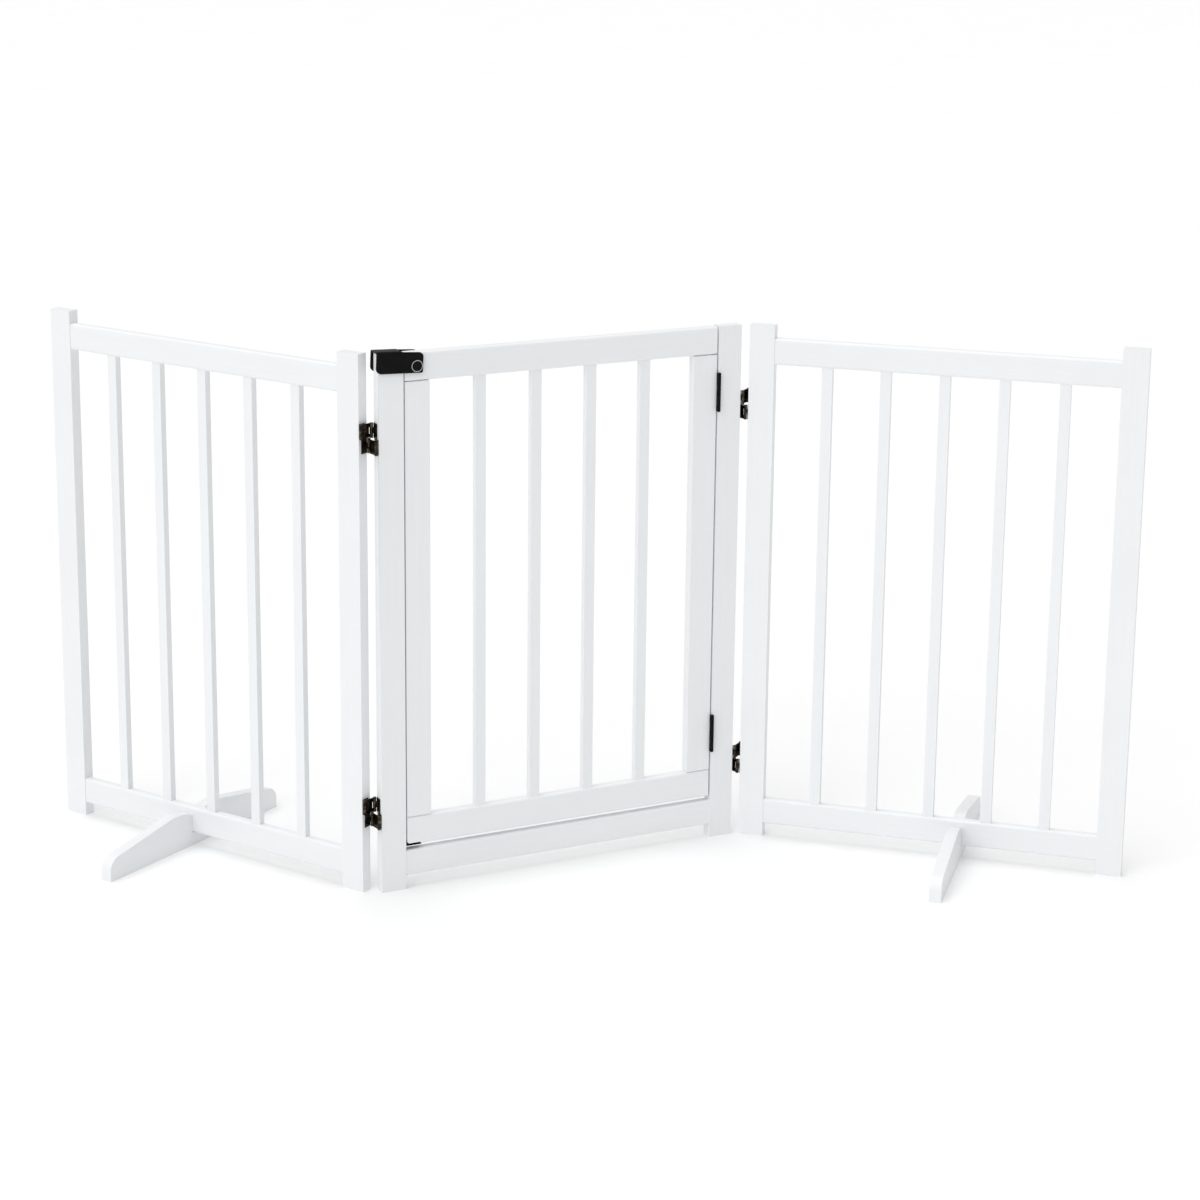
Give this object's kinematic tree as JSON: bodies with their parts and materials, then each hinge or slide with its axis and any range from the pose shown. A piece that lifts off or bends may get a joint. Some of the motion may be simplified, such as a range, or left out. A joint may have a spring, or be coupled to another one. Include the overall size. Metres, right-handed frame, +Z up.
{
  "type": "folding pet gate",
  "caption": "Free-standing white wooden pet gate: two folding slatted side panels with cross feet, and a middle frame with a hinged slatted door and a black flip-over latch.",
  "frame": {"origin": "centre of the whole gate's bounding box at floor level, as it stands folded in a zigzag", "axes": "+X along the middle frame from the latch post to the door's hinge post, +Y from the front to the back, +Z up; the door opens towards -Y"},
  "size_m": [1.3246, 0.8762, 0.7662],
  "materials": {
    "painted_wood": "white satin paint over solid wood",
    "painted_brad": "set flush and painted over with the wood",
    "bronze_hinge": "dark antique bronze plating, slightly glossy",
    "bronze_screw": "dark antique bronze plating",
    "black_metal": "black, satin",
    "black_screw": "black, satin",
    "latch_black": "black powder coat, matte",
    "silver_ring": "bright metal",
    "steel_screw": "zinc plated"
  },
  "bodies": {
    "door_frame": {"latch_post": "painted_wood", "door_hinge_post": "painted_wood", "threshold_rail": "painted_wood", "frame_brads": "painted_brad", "frame_leaves_left": "bronze_hinge", "frame_leaves_right": "bronze_hinge", "frame_pins": "bronze_hinge", "frame_leaf_screws": "bronze_screw", "door_hinge_frame_leaves": "black_metal", "door_hinge_frame_screws": "black_screw", "door_hinge_pins": "black_metal"},
    "left_panel": {"left_outer_post": "painted_wood", "left_hinge_post": "painted_wood", "left_top_rail": "painted_wood", "left_bottom_rail": "painted_wood", "left_slat_1": "painted_wood", "left_slat_2": "painted_wood", "left_slat_3": "painted_wood", "left_slat_4": "painted_wood", "left_slat_5": "painted_wood", "left_foot": "painted_wood", "left_foot_screw": "steel_screw", "left_brads": "painted_brad", "left_leaves": "bronze_hinge", "left_pins": "bronze_hinge", "left_leaf_screws": "bronze_screw"},
    "right_panel": {"right_outer_post": "painted_wood", "right_hinge_post": "painted_wood", "right_top_rail": "painted_wood", "right_bottom_rail": "painted_wood", "right_slat_1": "painted_wood", "right_slat_2": "painted_wood", "right_slat_3": "painted_wood", "right_slat_4": "painted_wood", "right_slat_5": "painted_wood", "right_foot": "painted_wood", "right_foot_screw": "steel_screw", "right_brads": "painted_brad", "right_leaves": "bronze_hinge", "right_pins": "bronze_hinge", "right_leaf_screws": "bronze_screw"},
    "left_lower_links": {"left_lower_links": "bronze_hinge"},
    "left_upper_links": {"left_upper_links": "bronze_hinge"},
    "right_lower_links": {"right_lower_links": "bronze_hinge"},
    "right_upper_links": {"right_upper_links": "bronze_hinge"},
    "door": {"door_top_rail": "painted_wood", "door_bottom_rail": "painted_wood", "door_latch_stile": "painted_wood", "door_hinge_stile": "painted_wood", "door_slat_1": "painted_wood", "door_slat_2": "painted_wood", "door_slat_3": "painted_wood", "door_slat_4": "painted_wood", "door_corner_plate": "black_metal", "door_corner_screw": "black_screw", "door_hinge_door_leaves": "black_metal", "door_hinge_door_screws": "black_screw", "latch_bolt": "black_metal", "latch_ring": "silver_ring"},
    "latch": {"latch_stirrup": "latch_black"}
  },
  "joints": [
    {"name": "left_lower_link_turn", "type": "hinge", "parent": "door_frame", "child": "left_lower_links", "pos_m": [-0.32645, -0.06132, 0.3805], "axis": [0, 0, -1], "range_deg": [-8.58, 10.33]},
    {"name": "left_fold", "type": "hinge", "parent": "left_lower_links", "child": "left_panel", "pos_m": [-0.32954, -0.04257, 0.3805], "axis": [0, 0, -1], "range_deg": [-50.43, 60.68]},
    {"name": "left_upper_link_turn", "type": "hinge", "parent": "door_frame", "child": "left_upper_links", "pos_m": [-0.32645, -0.04432, 0.3805], "axis": [0, 0, -1], "range_deg": [-50.44, 60.69]},
    {"name": "right_lower_link_turn", "type": "hinge", "parent": "door_frame", "child": "right_lower_links", "pos_m": [0.23015, -0.04432, 0.3805], "axis": [0, 0, -1], "range_deg": [-7.58, 8.67]},
    {"name": "right_fold", "type": "hinge", "parent": "right_lower_links", "child": "right_panel", "pos_m": [0.23422, -0.06288, 0.3805], "axis": [0, 0, -1], "range_deg": [-34.43, 39.34]},
    {"name": "right_upper_link_turn", "type": "hinge", "parent": "door_frame", "child": "right_upper_links", "pos_m": [0.23015, -0.06132, 0.3805], "axis": [0, 0, -1], "range_deg": [-34.44, 39.35]},
    {"name": "door_swing", "type": "hinge", "parent": "door_frame", "child": "door", "pos_m": [0.19045, -0.06402, 0.381], "axis": [0, 0, 1], "range_deg": [0, 90]},
    {"name": "latch_flip", "type": "hinge", "parent": "door", "child": "latch", "pos_m": [-0.26865, -0.05282, 0.7435], "axis": [0, 1, 0], "range_deg": [0, 97]}
  ],
  "couplings": [
    {"joint": "left_lower_link_turn", "follows": "left_fold", "ratio": 0.17},
    {"joint": "left_upper_link_turn", "follows": "left_fold", "ratio": 1},
    {"joint": "right_lower_link_turn", "follows": "right_fold", "ratio": 0.22},
    {"joint": "right_upper_link_turn", "follows": "right_fold", "ratio": 1}
  ]
}
